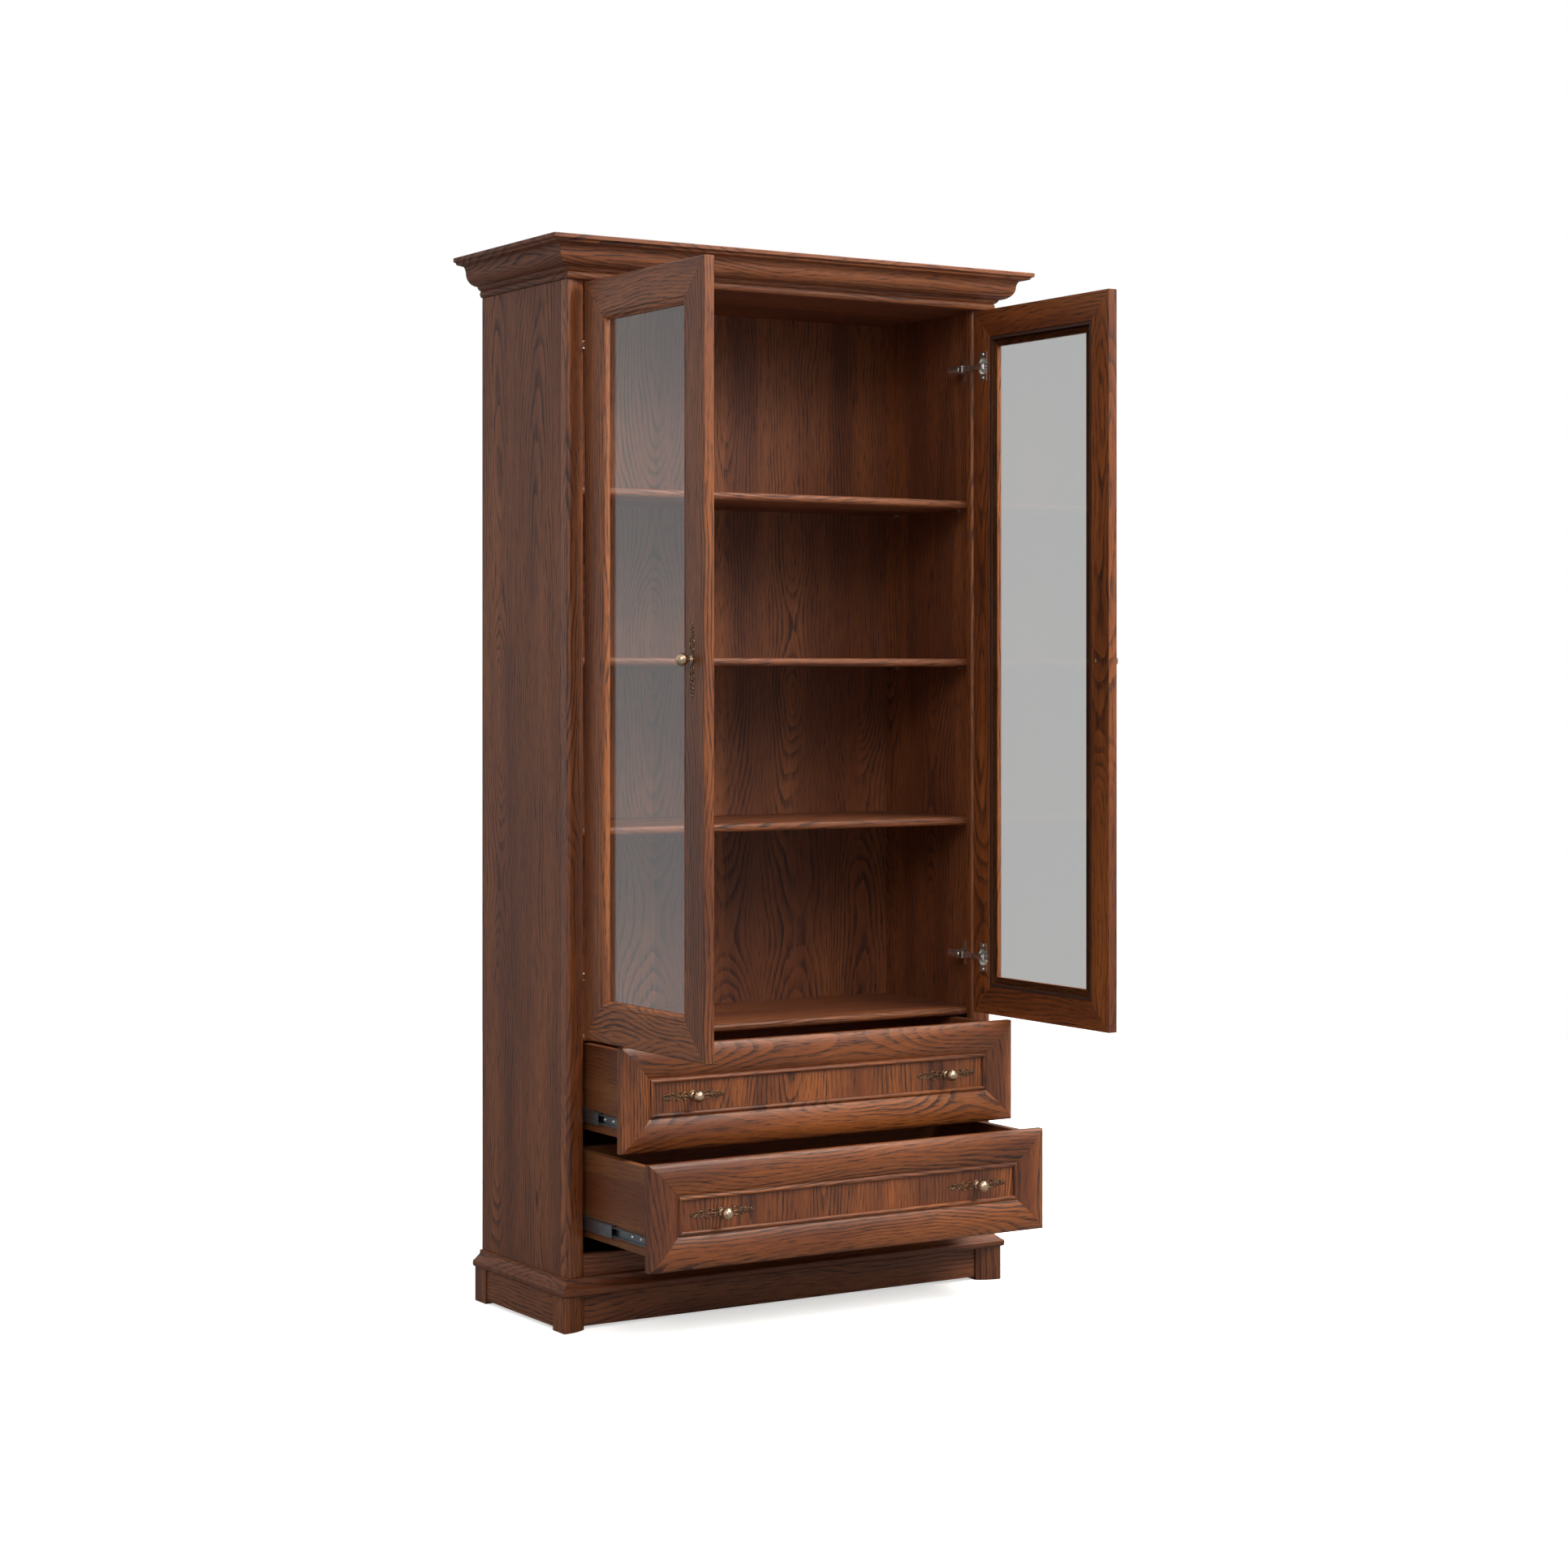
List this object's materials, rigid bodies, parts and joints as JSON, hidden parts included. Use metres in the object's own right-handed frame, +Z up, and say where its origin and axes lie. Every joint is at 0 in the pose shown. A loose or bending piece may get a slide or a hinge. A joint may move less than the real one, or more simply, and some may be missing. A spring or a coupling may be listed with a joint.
{
  "type": "china cabinet",
  "caption": "Tall framed display cabinet: stepped cornice, glazed doors with turned knobs, shelves, cushion-fronted drawers and a moulded plinth on block feet.",
  "frame": {"origin": "on the floor under the middle of the stored pose, half way from the wall to the free edges of the open doors", "axes": "+X to the viewer's right, +Y towards the wall so that the front faces -Y, +Z up"},
  "size_m": [1.09, 0.8058, 2.03],
  "materials": {
    "case_wood": "satin lacquer over chestnut-stained veneer",
    "front_wood": "satin lacquer over chestnut-stained veneer",
    "back_board": "printed chestnut decor on thin board",
    "inner_board": "plain melamine board",
    "drawer_board": "chestnut melamine board",
    "clear_glass": "clear polished",
    "gasket_plastic": "soft matt brown",
    "hinge_steel": "nickel plated",
    "pin_steel": "nickel plated",
    "slide_steel": "zinc plated",
    "antique_brass": "aged, with darkened recesses"
  },
  "bodies": {
    "cabinet": {"side_panel_left": "case_wood", "side_panel_right": "case_wood", "pilaster_left": "case_wood", "pilaster_right": "case_wood", "ceiling_panel": "case_wood", "display_floor": "case_wood", "front_rail": "case_wood", "cornice_front": "case_wood", "cornice_sides": "case_wood", "cornice_board": "case_wood", "base_moulding_front": "case_wood", "base_moulding_sides": "case_wood", "feet": "case_wood", "plinth_rails": "case_wood", "plinth_sides": "case_wood", "shelf_lower": "case_wood", "shelf_middle": "case_wood", "shelf_upper": "case_wood", "back_panel": "back_board", "carcass_bottom": "inner_board", "cornice_back_rail": "inner_board", "slide_battens": "inner_board", "shelf_pins": "pin_steel", "hinge_plates": "hinge_steel", "hinge_arms": "hinge_steel", "slide_outers": "slide_steel"},
    "left_door": {"left_door_hinge_stile": "front_wood", "left_door_lock_stile": "front_wood", "left_door_rails": "front_wood", "left_door_glass": "clear_glass", "left_door_gasket": "gasket_plastic", "left_door_hinge_cups": "hinge_steel", "left_door_knob": "antique_brass", "left_door_backplate": "antique_brass"},
    "left_hinge_links": {"left_hinge_links": "hinge_steel"},
    "right_door": {"right_door_hinge_stile": "front_wood", "right_door_lock_stile": "front_wood", "right_door_rails": "front_wood", "right_door_glass": "clear_glass", "right_door_gasket": "gasket_plastic", "right_door_hinge_cups": "hinge_steel", "right_door_knob": "antique_brass", "right_door_backplate": "antique_brass"},
    "right_hinge_links": {"right_hinge_links": "hinge_steel"},
    "upper_drawer": {"upper_drawer_front_frame": "front_wood", "upper_drawer_front_panel": "front_wood", "upper_drawer_box": "drawer_board", "upper_drawer_bottom": "drawer_board", "upper_drawer_knobs": "antique_brass", "upper_drawer_backplates": "antique_brass", "upper_drawer_slide_inners": "slide_steel"},
    "upper_slide_middles": {"upper_drawer_slide_middles": "slide_steel"},
    "lower_drawer": {"lower_drawer_front_frame": "front_wood", "lower_drawer_front_panel": "front_wood", "lower_drawer_box": "drawer_board", "lower_drawer_bottom": "drawer_board", "lower_drawer_knobs": "antique_brass", "lower_drawer_backplates": "antique_brass", "lower_drawer_slide_inners": "slide_steel"},
    "lower_slide_middles": {"lower_drawer_slide_middles": "slide_steel"}
  },
  "joints": [
    {"name": "left_door_hinge", "type": "hinge", "parent": "cabinet", "child": "left_door", "pos_m": [-0.45525, 0.05112, 1.2467], "axis": [0, 0, 1], "range_deg": [-15, 90]},
    {"name": "left_link_pivot", "type": "hinge", "parent": "cabinet", "child": "left_hinge_links", "pos_m": [-0.436, 0.07888, 1.2467], "axis": [0, 0, 1], "range_deg": [-15, 90]},
    {"name": "right_door_hinge", "type": "hinge", "parent": "cabinet", "child": "right_door", "pos_m": [0.45525, 0.05112, 1.2467], "axis": [0, 0, -1], "range_deg": [-15, 90]},
    {"name": "right_link_pivot", "type": "hinge", "parent": "cabinet", "child": "right_hinge_links", "pos_m": [0.436, 0.07888, 1.2467], "axis": [0, 0, -1], "range_deg": [-15, 90]},
    {"name": "upper_drawer_slide", "type": "slide", "parent": "cabinet", "child": "upper_drawer", "axis": [0, -1, 0], "range_m": [-0.142, 0.158]},
    {"name": "upper_middles_slide", "type": "slide", "parent": "cabinet", "child": "upper_slide_middles", "axis": [0, -1, 0], "range_m": [-0.071, 0.079]},
    {"name": "lower_drawer_slide", "type": "slide", "parent": "cabinet", "child": "lower_drawer", "axis": [0, -1, 0], "range_m": [-0.246, 0.054]},
    {"name": "lower_middles_slide", "type": "slide", "parent": "cabinet", "child": "lower_slide_middles", "axis": [0, -1, 0], "range_m": [-0.123, 0.027]}
  ],
  "couplings": [
    {"joint": "left_link_pivot", "follows": "left_door_hinge", "ratio": 1},
    {"joint": "right_link_pivot", "follows": "right_door_hinge", "ratio": 1},
    {"joint": "upper_middles_slide", "follows": "upper_drawer_slide", "ratio": 0.5},
    {"joint": "lower_middles_slide", "follows": "lower_drawer_slide", "ratio": 0.5}
  ]
}
